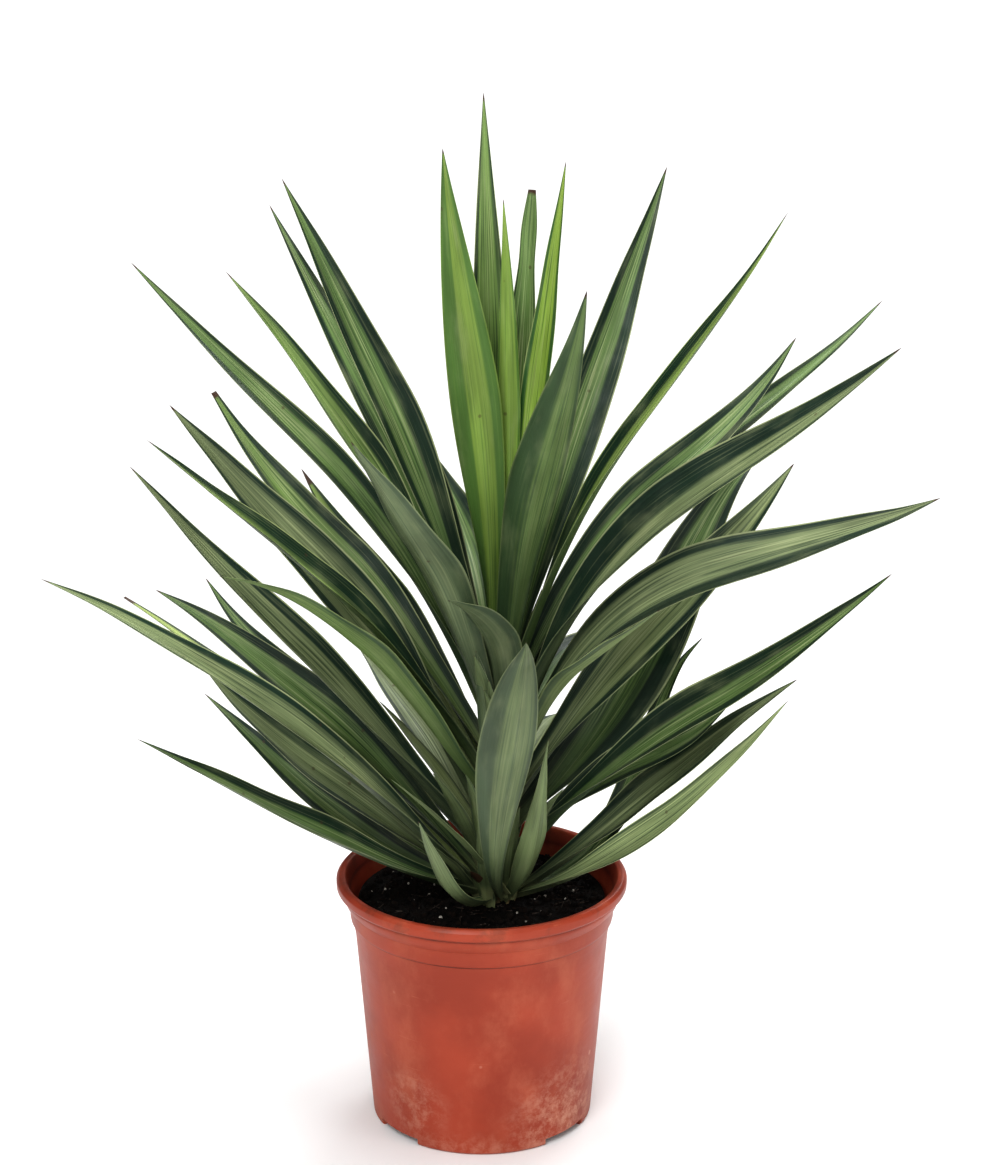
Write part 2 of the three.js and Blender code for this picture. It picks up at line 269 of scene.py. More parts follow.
def blade_group():
    """Stripes along a blade: a middle band, outer bands, fine veins and a thin pale edge.

    Place is (across from -1 to 1, along from 0 to 1, metres along plus an offset for each leaf).
    """
    found = bpy.data.node_groups.get("blade_stripes")
    if found:
        return found
    inputs = {
        "Place": "Vector",
        "Band": "Float",
        "Shift": "Float",
        "Centre": "Color",
        "Margin": "Color",
        "Pale": "Color",
    }
    tree, given, out = group("blade_stripes", inputs, {"Color": "Color", "Veins": "Float"})
    place = split(tree, given["Place"])
    across, reach = place[0], place[2]
    flat = node(tree, "CombineXYZ", {0: across, 1: reach}).outputs[0]
    veins = cloud(tree, scaled(tree, flat, 15, 9, 1), 1.0, detail=1.6, roughness=0.55)
    broad = cloud(tree, scaled(tree, flat, 4.2, 4.0, 1), 1.0, detail=1.0)
    hair = cloud(tree, scaled(tree, flat, 30, 10, 1), 1.0, detail=0.0)

    off_centre = maths(tree, "ABSOLUTE", less(tree, across, given["Shift"]))
    wander = times(tree, less(tree, broad, 0.5), 0.55)
    spread = plus(tree, off_centre, wander)
    spread = plus(tree, spread, times(tree, less(tree, veins, 0.5), 0.3))
    outer = ramp(tree, less(tree, spread, given["Band"]), -0.10, 0.12)
    colour = mixed(tree, outer, given["Centre"], given["Margin"])
    reduced = ramp(tree, outer, 0.0, 1.0, 0.5, 0.14)
    stripe = times(tree, ramp(tree, veins, 0.54, 0.66), reduced)
    colour = mixed(tree, stripe, colour, given["Pale"])
    trough = times(tree, ramp(tree, veins, 0.47, 0.35), 0.62)
    colour = mixed(tree, trough, colour, given["Margin"])
    colour = mixed(tree, 0.34, colour, grey(tree, hair), "OVERLAY")
    edge = times(tree, ramp(tree, maths(tree, "ABSOLUTE", across), 0.93, 0.975), 0.75)
    tree.links.new(mixed(tree, edge, colour, given["Pale"]), out["Color"])
    rib = ramp(tree, maths(tree, "ABSOLUTE", across), 0.05, 0.0, 0.0, 0.5)
    ridges = plus(tree, plus(tree, veins, times(tree, hair, 0.4)), rib)
    tree.links.new(ridges, out["Veins"])
    return tree


def material(name):
    """A new material, its tree and its Principled shader."""
    made = bpy.data.materials.new(name)
    made.use_nodes = True
    shader = made.node_tree.nodes["Principled BSDF"]
    return made, made.node_tree, shader


def surface(tree, shader, colour, rough, height, depth, strength=1.0, specular=0.5):
    """Joins a colour and a roughness to the shader, and a height as a bump of that depth."""
    inputs = {"Height": height, "Distance": depth, "Strength": strength}
    bump = node(tree, "Bump", inputs).outputs[0]
    for socket, name in ((colour, "Base Color"), (rough, "Roughness"), (bump, "Normal")):
        tree.links.new(socket, shader.inputs[name])
    shader.inputs["Specular IOR Level"].default_value = specular


def object_place(tree):
    return node(tree, "TexCoord").outputs["Object"]


# Materials

# painted shade: the dark green that the back of a blade is darkened towards
UNDERSIDE_SHADE = (0.016, 0.036, 0.026)  # what the back of a blade fades to
# painted shade for where the leaves crowd
LEAF_SHADE = (0.012, 0.024, 0.012)  # between crowded leaves
# painted shade for the crease under the lip and the step
CREASE_SHADE = srgb(84, 32, 22)
SOIL_SMEAR = srgb(92, 52, 38)
# painted shade for the inside of the wall
INNER_WALL_SHADE = srgb(112, 40, 30)
WET_PEAT = (0.004, 0.003, 0.002)
BARK_FIBRE = srgb(70, 58, 38)
BARK_SCAR = srgb(58, 42, 28)
# water marks on the pot: where, how far they reach, where they are full, and how strong they are
WATER_MARKS = (
    ((0.058, -0.05, 0.012), 0.062, 0.012, 1.0),
    ((-0.045, -0.06, 0.03), 0.035, 0.008, 0.55),
)


def leaf_skin(name, centre, margin, colours):
    """Striped leaf surface, read from what blade() stores on the mesh."""
    made, tree, shader = material(name)
    place = stored(tree, "blade_place")
    pattern = stored(tree, "blade_pattern")
    tone = stored(tree, "blade_tone")
    band, shift, warm = split(tree, pattern)
    light, brown, under = split(tree, tone)
    across, along, reach = split(tree, place)
    where = object_place(tree)
    inputs = {
        "Place": place,
        "Band": band,
        "Shift": shift,
        "Centre": mixed(tree, warm, centre, colours.warm),
        "Margin": (*margin, 1),
        "Pale": mixed(tree, warm, colours.pale_edge, colours.warm),
    }
    stripes = node(tree, "Group", inputs, node_tree=blade_group()).outputs
    colour = stripes["Color"]

    # the underside is duller and its bands run together, and it is darkened with painted shade
    dull_and_shaded = mixed(tree, 0.45, colour, centre)
    dull_and_shaded = mixed(tree, 0.42, dull_and_shaded, UNDERSIDE_SHADE)
    colour = mixed(tree, under, colour, dull_and_shaded)
    # brighter and darker leaves, and soft clouds along each one
    patch = ramp(tree, cloud(tree, scaled(tree, place, 1.2, 2.0, 14), 1.0), 0.3, 0.7, 0.82, 1.16)
    level = times(tree, ramp(tree, light, 0.0, 1.0, 0.62, 1.42), patch)
    colour = mixed(tree, 1.0, colour, grey(tree, level), "MULTIPLY")
    # a pale bloom that dulls the green in patches
    haze = cloud(tree, scaled(tree, place, 1.6, 0, 26), 1.0, detail=4.0)
    colour = mixed(tree, ramp(tree, haze, 0.48, 0.8, 0.0, 0.2), colour, colours.pale_edge)
    # painted shade, darker where leaves crowd near the foot, then a pale foot, a brown point, and a
    # few small blemishes
    crowd_shade = ramp(tree, along, 0.42, 0.04, 0.0, 0.5)
    colour = mixed(tree, crowd_shade, colour, LEAF_SHADE)
    foot = times(tree, ramp(tree, along, 0.09, -0.04), 0.55)
    colour = mixed(tree, foot, colour, colours.foot)
    frayed = plus(tree, along, times(tree, cloud(tree, where, 420.0), 0.012))
    past = less(tree, plus(tree, frayed, brown), 1.0)
    colour = mixed(tree, ramp(tree, past, -0.006, 0.006), colour, colours.spine)
    spots = times(tree, specks(tree, where, 130.0, 0.955, 0.2), 0.5)
    colour = mixed(tree, spots, colour, colours.spine)
    rough = ramp(tree, cloud(tree, where, 60.0), 0.3, 0.7, 0.42, 0.6)
    # the veins run flat towards the point
    relief = times(tree, stripes["Veins"], ramp(tree, along, 0.95, 0.5, 0.12, 1.0))
    surface(tree, shader, colour, rough, relief, 0.00035, 0.65, specular=0.3)
    return made


def pot_plastic(colours):
    """Satin terracotta-coloured plastic: clouded, rubbed, with dried water marks and soil dust, and
    painted shade in the crease under the lip, along the step and inside the wall.
    """
    made, tree, shader = material("pot_plastic")
    where = object_place(tree)
    x, y, z = split(tree, where)
    clouds = ramp(tree, cloud(tree, where, 16.0, 5.0), 0.35, 0.68)
    colour = mixed(tree, clouds, colours.clay, colours.clay_dark)
    # rubbed areas
    rubbed = cloud(tree, scaled(tree, where, 1.3, 1.3, 0.8), 22.0, 6.0, 0.65)
    colour = mixed(tree, ramp(tree, rubbed, 0.46, 0.76, 0.0, 0.5), colour, colours.clay_faded)
    # dried water marks, thickest low on the front right
    low_right, low_left = (
        ramp(tree, distance(tree, where, spot), reach, full, 0.0, most)
        for spot, reach, full, most in WATER_MARKS
    )
    blots = ramp(tree, cloud(tree, where, 95.0, 10.0, 0.78), 0.40, 0.66)
    marks = times(tree, maths(tree, "MAXIMUM", low_right, low_left), blots)
    foot = times(tree, ramp(tree, z, 0.022, 0.0, 0.0, 0.5), blots)
    marks = times(tree, maths(tree, "MAXIMUM", marks, foot), 0.55)
    colour = mixed(tree, marks, colour, colours.lime)
    # small pale scuffs and thin scratches
    scuffs = times(tree, specks(tree, where, 70.0, 0.93, 0.16), 0.35)
    colour = mixed(tree, scuffs, colour, colours.lime)
    thread = cloud(tree, scaled(tree, where, 40, 40, 700), 1.0, 1.0)
    worn = ramp(tree, rubbed, 0.45, 0.6, 0.0, 0.4)
    scratches = times(tree, ramp(tree, thread, 0.7, 0.78), worn)
    colour = mixed(tree, scratches, colour, colours.clay_faded)
    # thin dark lines of painted shade in the crease under the lip and along the step
    shade_strength = ramp(tree, rubbed, 0.3, 0.6, 0.85, 0.35)
    for height, half in ((POT_CREASE, 0.0016), (POT_STEP, 0.0009)):
        off = maths(tree, "ABSOLUTE", less(tree, z, height))
        line = times(tree, ramp(tree, off, half, half * 0.3), shade_strength)
        colour = mixed(tree, line, colour, CREASE_SHADE)
    # damp soil smeared over the lip, and painted shade on the inside of the wall near the rim
    dirt = ramp(tree, cloud(tree, where, 55.0, 6.0, 0.7), 0.5, 0.64)
    on_lip = ramp(tree, z, 0.150, 0.166, 0.0, 0.4)
    colour = mixed(tree, times(tree, dirt, on_lip), colour, SOIL_SMEAR)
    squares = plus(tree, maths(tree, "POWER", x, 2.0), maths(tree, "POWER", y, 2.0))
    radius = maths(tree, "SQRT", squares)
    inside = times(tree, ramp(tree, radius, 0.0895, 0.0865), ramp(tree, z, 0.154, 0.159))
    colour = mixed(tree, times(tree, inside, 0.55), colour, INNER_WALL_SHADE)
    rough = plus(tree, ramp(tree, rubbed, 0.35, 0.7, 0.38, 0.52), times(tree, marks, 0.3))
    skin = cloud(tree, where, 900.0, 2.0)
    waves = cloud(tree, scaled(tree, where, 1, 1, 5), 30.0, 2.0)
    height = plus(tree, times(tree, skin, 0.12), waves)
    height = less(tree, height, times(tree, scratches, 0.3))
    surface(tree, shader, colour, rough, height, 0.0005, 0.5, specular=0.28)
    return made


def peat(name, dark, dry, dryness):
    """Damp peat, with drier flecks as dryness goes up."""
    made, tree, shader = material(name)
    where = object_place(tree)
    lumps = cloud(tree, where, 180.0, 8.0, 0.7)
    colour = mixed(tree, ramp(tree, lumps, 0.4, 0.72, 0.0, dryness), dark, dry)
    wet = ramp(tree, cloud(tree, where, 30.0, 3.0), 0.4, 0.7, 0.0, 0.5)
    colour = mixed(tree, wet, colour, WET_PEAT)
    flecks = times(tree, specks(tree, where, 480.0, 0.9, 0.3), dryness)
    colour = mixed(tree, flecks, colour, dry)
    rough = ramp(tree, lumps, 0.3, 0.7, 0.62, 0.95)
    fluff = cloud(tree, where, 700.0, 6.0, 0.75)
    surface(tree, shader, colour, rough, fluff, 0.0016, specular=0.14)
    return made


def mineral(colours):
    """Chalky white grain with pits."""
    made, tree, shader = material("mineral_grain")
    where = object_place(tree)
    pits = cloud(tree, where, 1500.0, 3.0)
    colour = mixed(tree, ramp(tree, pits, 0.35, 0.6), colours.peat_dry, colours.grain)
    surface(tree, shader, colour, ramp(tree, pits, 0.3, 0.7, 0.95, 0.75), pits, 0.0005)
    return made


def bark(colours):
    """Cane bark, greener upwards, with leaf scars round it and fibres along it."""
    made, tree, shader = material("cane_bark")
    where = object_place(tree)
    z = split(tree, where)[2]
    colour = mixed(tree, ramp(tree, z, SOIL_HIGH.z, SOIL_HIGH.z + 0.12), colours.bark, colours.foot)
    fibres = cloud(tree, scaled(tree, where, 900, 900, 60), 1.0, 4.0)
    colour = mixed(tree, ramp(tree, fibres, 0.45, 0.62, 0.0, 0.6), colour, BARK_FIBRE)
    scars = cloud(tree, scaled(tree, where, 25, 25, 240), 1.0, 3.0)
    colour = mixed(tree, ramp(tree, scars, 0.55, 0.64, 0.0, 0.75), colour, BARK_SCAR)
    rough = ramp(tree, fibres, 0.3, 0.7, 0.55, 0.85)
    surface(tree, shader, colour, rough, plus(tree, fibres, scars), 0.0008)
    return made


def floor_paint(colour):
    """Matt pale floor that glows white further out, as a lit studio sweep does."""
    made, tree, shader = material("floor_paint")
    far = distance(tree, object_place(tree), (0, 0, 0))
    seen = node(tree, "LightPath").outputs["Is Camera Ray"]
    glow = times(tree, ramp(tree, far, *GLOW_RADII), seen)
    tree.links.new(glow, shader.inputs["Emission Strength"])
    shader.inputs["Emission Color"].default_value = (1, 1, 1, 1)
    tree.links.new(mixed(tree, glow, colour, (0, 0, 0)), shader.inputs["Base Color"])
    shader.inputs["Roughness"].default_value = 0.75
    shader.inputs["Specular IOR Level"].default_value = 0.2
    return made


# Mesh helpers


def finished(name, bm, made_of, slot, *nodes, sharp=35):
    """The bmesh as a smooth-shaded piece on the root body, standing for the CAD nodes named."""
    mesh = bpy.data.meshes.new(name)
    bm.to_mesh(mesh)
    bm.free()
    mesh.materials.append(made_of)
    mesh.shade_smooth()
    mesh.set_sharp_from_angle(angle=math.radians(sharp))
    piece = bpy.data.objects.new(name, mesh)
    bpy.context.scene.collection.objects.link(piece)
    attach(piece, "root")
    if nodes:
        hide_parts(*nodes)
    return piece


def spun(profile, steps):
    """A closed skin turned about +Z from (radius, height) points that start and end on the axis."""
    bm = bmesh.new()
    verts = [bm.verts.new((radius, 0, height)) for radius, height in profile]
    edges = [bm.edges.new(pair) for pair in zip(verts, verts[1:])]
    bmesh.ops.spin(
        bm,
        geom=verts + edges,
        cent=(0, 0, 0),
        axis=(0, 0, 1),
        angle=math.tau,
        steps=steps,
        use_merge=True,
    )
    bmesh.ops.remove_doubles(bm, verts=bm.verts, dist=1e-6)
    bmesh.ops.recalc_face_normals(bm, faces=bm.faces)
    return bm


def curve_through(a, b, c, d, t):
    """A point between b and c on a smooth curve through all four."""
    return 0.5 * (
        2 * b + (c - a) * t + (2 * a - 5 * b + 4 * c - d) * t**2 + (3 * b - a - 3 * c + d) * t**3
    )


def section_at(sections, s):
    """The cross-section at s, counted in sections from the foot."""
    last = len(sections) - 1
    i = min(int(s), last - 1)
    four = (sections[min(max(k, 0), last)] for k in range(i - 1, i + 3))
    return [curve_through(*values, s - i) for values in zip(*four)]


# The stem

CANE_FOOT, CANE_TAPER = 0.0107, 0.0049  # radius at the soil, and how much less it is at the top
RING_PITCH, RING_CUT, RING_RISE = 0.0042, 0.0006, 0.0016  # the leaf scars up the cane

def cane_radius(z):
    """Radius of the cane at a height: the CAD stem's, which narrows upwards."""
    share = min(max((z - SOIL_HIGH.z) / (STEM_HIGH.z - SOIL_HIGH.z), 0), 1)
    return CANE_FOOT - CANE_TAPER * share


# Leaves

ALONG, ACROSS = 46, 10  # faces of a blade each way
FOOT_SUNK = 0.009  # how far a blade's foot goes on into the stem
SOIL_CLEAR = 0.002  # how far over the soil the lowest foot stays
CLASP_DROP = 0.045  # how far down the stem a blade clasps it, at most
CLASP_SHARE = 0.5  # share of a blade over which it bends up from there
BLADE_DEEPER = 1.75  # how many times as deep as the frame's fold a blade's channel is
CHANNEL_DEEPER = 1.5  # how much is added to that at its foot
SHAPING = ("slim", "waist", "neck", "point")  # what a leaf may change in clasping()
TIP_BACK = 0.0006  # how far a blade stops short of the frame's point
TIP_HALF = 0.0002  # half width of a blade at its point
FOLD_ROUNDING = 0.03  # how rounded a blade's fold is at the midrib
ROW_CROWDING = 1.12  # how much closer a blade's rows stand towards its point
EDGE_THINNING = 0.72  # share of its thickness that a blade has lost at its edges
FOOT_THICKER, POINT_LOSS = 1.15, 0.75  # shares of it at the foot, and lost from there to the point
THIN_UNDER, THINNEST = 0.003, 0.12  # half width under which a blade thins, and what it keeps
CALM_UNDER = 0.006  # half width under which its edges wave less
KEEL, KEEL_WIDTH = 0.35, 0.16  # share of the thickness that the midrib adds below, and its width
BLUNT_FROM = 0.29  # a blade that is still this share of its width near its end is cut off blunt

# How each leaf differs from its kind: light (brightness), warm (towards the warm stripe), band
# (half width of the middle band), shift (the band's place across), brown (share dried at the point)
KINDS = {
    "heart": {"warm": 0.55, "band": 0.6, "shift": 0.0, "brown": 0.012},
    "green": {"warm": 0.0, "band": 0.5, "shift": 0.0, "brown": 0.016},
    "grey": {"warm": 0.0, "band": 0.62, "shift": 0.0, "brown": 0.016},
}


def leaf(kind, light, **changes):
    """A leaf's kind and its look, which is its kind's with some changes."""
    return kind, KINDS[kind] | {"light": light} | changes


# The leaves of each tier, numbered from 1
TIERS = {
    "heart_leaf": (
        leaf("heart", 0.85, warm=0.8, band=0.8),
        leaf("heart", 0.68, warm=0.85, band=0.42, shift=0.12, slim=0.92),
        leaf("heart", 0.42, warm=0.35, band=0.66),
        leaf("green", 0.72, warm=0.08, band=0.66),
        leaf("green", 0.72, band=0.8, slim=1.5, brown=0.01),
    ),
    "crown_leaf": (
        leaf("green", 0.55, warm=0.35, band=0.5, shift=0.3, slim=0.84),
        leaf("green", 0.42, band=0.42),
        leaf("green", 0.62, warm=0.3, band=0.6, shift=-0.3),
        leaf("green", 0.4, band=0.45),
        leaf("green", 0.3),
        leaf("green", 0.42),
        leaf("green", 0.55, warm=0.12, band=0.6),
        leaf("grey", 0.55),
        leaf("green", 0.4, band=0.45, shift=-0.2),
        leaf("green", 0.4),
        leaf("green", 0.42),
        leaf("grey", 0.42, band=0.46, shift=-0.25),
    ),
    "middle_leaf": (
        leaf("green", 0.5, warm=0.1),
        leaf("green", 0.55, warm=0.3, brown=0.06),
        leaf("green", 0.45, warm=0.25, shift=0.3),
        leaf("grey", 0.45),
        leaf("grey", 0.42),
        leaf("green", 0.4),
        leaf("green", 0.55, warm=0.45, band=0.55, shift=0.3),
        leaf("green", 0.32),
        leaf("grey", 0.5, warm=0.05),
        leaf("grey", 0.4, band=0.45, shift=0.3),
        leaf("grey", 0.65, warm=0.4),
        leaf("green", 0.33, band=0.4),
        leaf("green", 0.35),
    ),
    "skirt_leaf": (
        leaf("grey", 0.55),
        leaf("grey", 0.6, warm=0.5, brown=0.03),
        leaf("green", 0.4),
        leaf("green", 0.3),
        leaf("green", 0.28),
        leaf("grey", 0.5),
        leaf("green", 0.3),
        leaf("green", 0.4),
        leaf("grey", 0.48),
        leaf("grey", 0.78, warm=0.05, band=0.8, slim=0.7),
    ),
    "front_leaf": (
        leaf("grey", 0.56, warm=0.15, band=0.6, shift=0.22, slim=1.3, waist=0.22, neck=0.8, point=0.9),
        leaf("grey", 0.55, band=0.6),
        leaf("grey", 0.9, warm=0.25, band=0.95, slim=0.68, waist=1.7, neck=0.6, point=0.7),
        leaf("grey", 0.78, warm=0.15, band=0.85, slim=0.68, waist=1.1),
        leaf("grey", 0.55),
        leaf("grey", 0.55, warm=0.3),
    ),
    "back_leaf": (
        leaf("green", 0.4),
        leaf("green", 0.42),
        leaf("green", 0.4),
        leaf("grey", 0.45),
        leaf("grey", 0.45),
        leaf("grey", 0.5),
    ),
}
LEAVES = {
    f"{tier}_{number}": look
    for tier, looks in TIERS.items()
    for number, look in enumerate(looks, 1)
}


def leaf_rings(mesh):
    """The rings of four corners round a CAD leaf, from its point to its foot, with the point."""
    bm = bmesh.new()
    bm.from_mesh(mesh)
    bmesh.ops.remove_doubles(bm, verts=bm.verts, dist=1e-6)
    for apex in (v for v in bm.verts if len(v.link_edges) == 4):
        rings, seen = [[apex]], {apex}
        while True:
            ring = {e.other_vert(v) for v in rings[-1] for e in v.link_edges} - seen
            if not ring:
                break
            rings.append(list(ring))
            seen |= ring
        if all(len(ring) == 4 for ring in rings[1:]):
            found = [[v.co.copy() for v in ring] for ring in rings]
            bm.free()
            return found[1:], found[0][0]
    raise RuntimeError(f"{mesh.name} isn't a leaf of four-cornered rings with a point")


def leaf_sections(node_name):
    """Cross-sections of a CAD leaf from its foot to its point, and whether it is cut off blunt.

    Each is (centre, across, face, half width, rise of the edges).
    """
    rings, point = leaf_rings(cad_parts[node_name].data)
    rings.reverse()
    corners = []
    for ring in rings:
        pairs = [(a, b) for i, a in enumerate(ring) for b in ring[i + 1 :]]
        edges = max(pairs, key=lambda pair: (pair[0] - pair[1]).length)
        middle = (edges[0] + edges[1]) / 2
        others = [v for v in ring if v not in edges]
        upper, lower = sorted(others, key=lambda v: (v - middle).length)
        corners.append((edges, upper, lower))
    sections = []
    for i, (edges, upper, lower) in enumerate(corners):
        ahead = corners[i + 1] if i + 1 < len(corners) else None
        centre = (upper + lower) / 2
        along = ((ahead[1] + ahead[2]) / 2 if ahead else point) - centre
        face = (upper - lower).normalized()
        across = face.cross(along).normalized()
        left, right = sorted(edges, key=lambda v: -(v - centre).dot(across))
        rise = ((left + right) / 2 - centre).dot(face)
        chord = left - right
        sections.append((centre, chord.normalized(), face, chord.length / 2, rise))
    centre, across, face, half, rise = sections[-1]
    widest = max(section[3] for section in sections)
    blunt = half > BLUNT_FROM * widest
    ending = (half * 0.5, rise * 0.5) if blunt else (TIP_HALF, 0.0)
    end = point + (centre - point).normalized() * TIP_BACK
    sections.append((end, across, face, *ending))
    return sections, blunt


def clasping(sections, slim=1.0, waist=0.85, neck=0.4, point=0.15):
    """The sections with the foot moved down the stem, so that the blade rises along it and then
    leans out, with a deeper channel there. slim is the share of its width that the blade keeps,
    waist the share of that at the foot, neck how far up the foot's narrowing goes, and point
    the share taken off near the tip."""
    drop = min(CLASP_DROP, max(sections[0][0].z - SOIL_HIGH.z - SOIL_CLEAR, 0))
    last = len(sections) - 1
    centres = [
        centre - Vector((0, 0, drop * max(1 - i / last / CLASP_SHARE, 0) ** 2))
        for i, (centre, *_) in enumerate(sections)
    ]
    shaped = []
    for i, (_, across, face, half, rise) in enumerate(sections):
        t = i / last
        ahead = centres[min(i + 1, last)] - centres[max(i - 1, 0)]
        face = ahead.cross(across).normalized()
        keep = slim * (waist + (1 - waist) * min(t / neck, 1) ** 1.5)
        keep *= 1 - point * max((t - 0.5) / 0.5, 0) ** 1.5
        deeper = BLADE_DEEPER + CHANNEL_DEEPER * (1 - t) ** 2
        shaped.append((centres[i], across, face, half * keep, rise * keep * deeper))
    return sunk(shaped)


def sunk(sections):
    """The sections with one more before them, inside the stem."""
    centre, across, face, half, rise = sections[0]
    back = (sections[1][0] - centre).normalized() * FOOT_SUNK
    return [(centre - back, across, face, half, rise), *sections]


def path_sections(foot, tip, lift, width, widest=0.4, fold=0.2):
    """Cross-sections of a small blade from foot to tip, bent up by lift."""
    foot, tip = Vector(foot), Vector(tip)
    chord = tip - foot
    level = Vector((-chord.y, chord.x, 0))
    side = level.normalized() if level.length > 1e-6 else Vector((1, 0, 0))
    up = chord.cross(side).normalized() * lift
    points = interpolate_bezier(foot, foot + chord / 3 + up, tip - chord / 3 + up, tip, 9)
    sections = []
    for i, centre in enumerate(points[:-1]):
        t = i / (len(points) - 1)
        along = (points[i + 1] - centre).normalized()
        swell = 0.7 + 0.3 * math.sin(math.pi / 2 * min(t / widest, 1))
        shrink = 1 if t < widest else 1 - ((t - widest) / (1 - widest)) ** 1.8
        half = width / 2 * swell * shrink
        sections.append((centre, side, along.cross(side), half, half * fold))
    sections.append((points[-1], side, sections[-1][2], TIP_HALF, 0.0))
    return sections


def blade(bm, sections, look, seed, thickness, wave, blunt=False, rows=ALONG, columns=ACROSS):
    """Adds one leaf to bm: two curved skins, thickest along the middle, joined round the edge.

    It stores where each point lies on the leaf, which is what leaf_skin() reads.
    """
    for layer in ("blade_place", "blade_pattern", "blade_tone"):
        if layer not in bm.verts.layers.float_vector:
            bm.verts.layers.float_vector.new(layer)
    place_of, pattern_of, tone_of = (
        bm.verts.layers.float_vector[layer]
        for layer in ("blade_place", "blade_pattern", "blade_tone")
    )
    rng = random.Random(seed)
    last = len(sections) - 1
    beats, phase, lean = rng.uniform(2.2, 4.2), rng.uniform(0, math.tau), rng.uniform(-1, 1)
    offset = rng.uniform(0, 50)
    full = sum((b[0] - a[0]).length for a, b in zip(sections, sections[1:]))
    grid = bmesh.ops.create_grid(bm, x_segments=columns, y_segments=rows, size=1)["verts"]
    levels, flat = {}, math.sqrt(FOLD_ROUNDING)

    def level(y):
        key = round(y, 4)
        if key not in levels:
            q = 1 - (1 - (key + 1) / 2) ** ROW_CROWDING
            levels[key] = (q, section_at(sections, q * last))
        return levels[key]

    tip_row = [v for v in grid if v.co.y > 0.9999]
    placed = {}
    for v in grid:
        u, (q, (centre, across, face, half, rise)) = v.co.x, level(v.co.y)
        half, face = max(half, TIP_HALF), face.normalized()
        fold = (math.sqrt(u * u + FOLD_ROUNDING) - flat) / (math.sqrt(1 + FOLD_ROUNDING) - flat)
        ripple = wave * math.sin(beats * math.tau * q + phase + (lean if u > 0 else 0)) * u * u
        ripple *= min(1, half / CALM_UNDER)
        middle = centre + across * (half * u) + face * (rise * fold + ripple)
        thick = thickness * (1 - EDGE_THINNING * u * u) * (FOOT_THICKER - POINT_LOSS * q)
        thick *= min(1, half / THIN_UNDER + THINNEST)
        placed[v] = (middle, face, thick)
        v[place_of] = (u, min(max((q * last - 1) / (last - 1), -0.1), 1), q * full + offset)
        v[pattern_of] = (look["band"], look["shift"], look["warm"])
        v[tone_of] = (look["light"], look["brown"], 0)
    faces = list({f for v in grid for f in v.link_faces})
    edges = list({e for f in faces for e in f.edges})
    copied = bmesh.ops.duplicate(bm, geom=[*grid, *edges, *faces])
    lower_of = copied["vert_map"]
    for v, (middle, face, thick) in placed.items():
        keel = KEEL * thick * math.exp(-((v[place_of].x / KEEL_WIDTH) ** 2))
        v.co = middle + face * (thick / 2)
        lower_of[v].co = middle - face * (thick / 2 + keel)
        lower_of[v][tone_of] = (look["light"], look["brown"], 1)
    lower_tip = [lower_of[v] for v in tip_row]
    lower_faces = [g for g in copied["geom"] if isinstance(g, bmesh.types.BMFace)]
    bmesh.ops.reverse_faces(bm, faces=lower_faces)
    if not blunt:
        for row in (tip_row, lower_tip):
            middle = sum((v.co for v in row), Vector()) / len(row)
            bmesh.ops.pointmerge(bm, verts=row, merge_co=middle)
    skins = {f for f in [*faces, *lower_faces] if f.is_valid}
    rims = [e for e in {e for f in skins for e in f.edges} if len(e.link_faces) == 1]
    bmesh.ops.bridge_loops(bm, edges=rims)


def leaf_materials():
    """The three leaf materials by kind, made once."""
    colours = bpy.context.scene.yucca_leaves
    kinds = {
        "heart": (colours.heart_centre, colours.heart_margin),
        "green": (colours.green_centre, colours.green_margin),
        "grey": (colours.grey_centre, colours.grey_margin),
    }
    return {
        kind: bpy.data.materials.get(kind + "_leaf_skin")
        or leaf_skin(kind + "_leaf_skin", tuple(centre), tuple(margin), colours)
        for kind, (centre, margin) in kinds.items()
    }


class LeafTier:
    """What the operators for the leaf groups share. tier is how their CAD nodes' names start."""

    bl_options = {"REGISTER", "UNDO"}
    tier = ""

    def execute(self, context):
        sizes = context.scene.yucca_leaves
        skins = leaf_materials()
        for seed, (name, (kind, look)) in enumerate(LEAVES.items()):
            if not name.startswith(self.tier):
                continue
            sections, blunt = leaf_sections(name)
            bm = bmesh.new()
            sections = clasping(sections, **{key: look[key] for key in SHAPING if key in look})
            blade(bm, sections, look, seed, sizes.thickness, sizes.wave, blunt)
            bmesh.ops.recalc_face_normals(bm, faces=bm.faces)
            finished(name + "_blade", bm, skins[kind], kind + "_leaf", name, sharp=60)
        return {"FINISHED"}


class YUCCA_OT_heart_leaves(LeafTier, bpy.types.Operator):
    """Add the upright young leaves at the heart of the plant"""

    bl_idname, bl_label, tier = "yucca.heart_leaves", "Heart leaves", "heart_leaf"


class YUCCA_OT_crown_leaves(LeafTier, bpy.types.Operator):
    """Add the long leaves that spread from the crown"""

    bl_idname, bl_label, tier = "yucca.crown_leaves", "Crown leaves", "crown_leaf"


class YUCCA_OT_middle_leaves(LeafTier, bpy.types.Operator):
    """Add the middle leaves, which lean out further"""

    bl_idname, bl_label, tier = "yucca.middle_leaves", "Middle leaves", "middle_leaf"


class YUCCA_OT_skirt_leaves(LeafTier, bpy.types.Operator):
    """Add the lowest leaves, which lean out over the rim"""

    bl_idname, bl_label, tier = "yucca.skirt_leaves", "Skirt leaves", "skirt_leaf"


class YUCCA_OT_front_leaves(LeafTier, bpy.types.Operator):
    """Add the short leaves in front of the stem"""

    bl_idname, bl_label, tier = "yucca.front_leaves", "Front leaves", "front_leaf"


class YUCCA_OT_back_leaves(LeafTier, bpy.types.Operator):
    """Add the leaves on the far side"""

    bl_idname, bl_label, tier = "yucca.back_leaves", "Back leaves", "back_leaf"


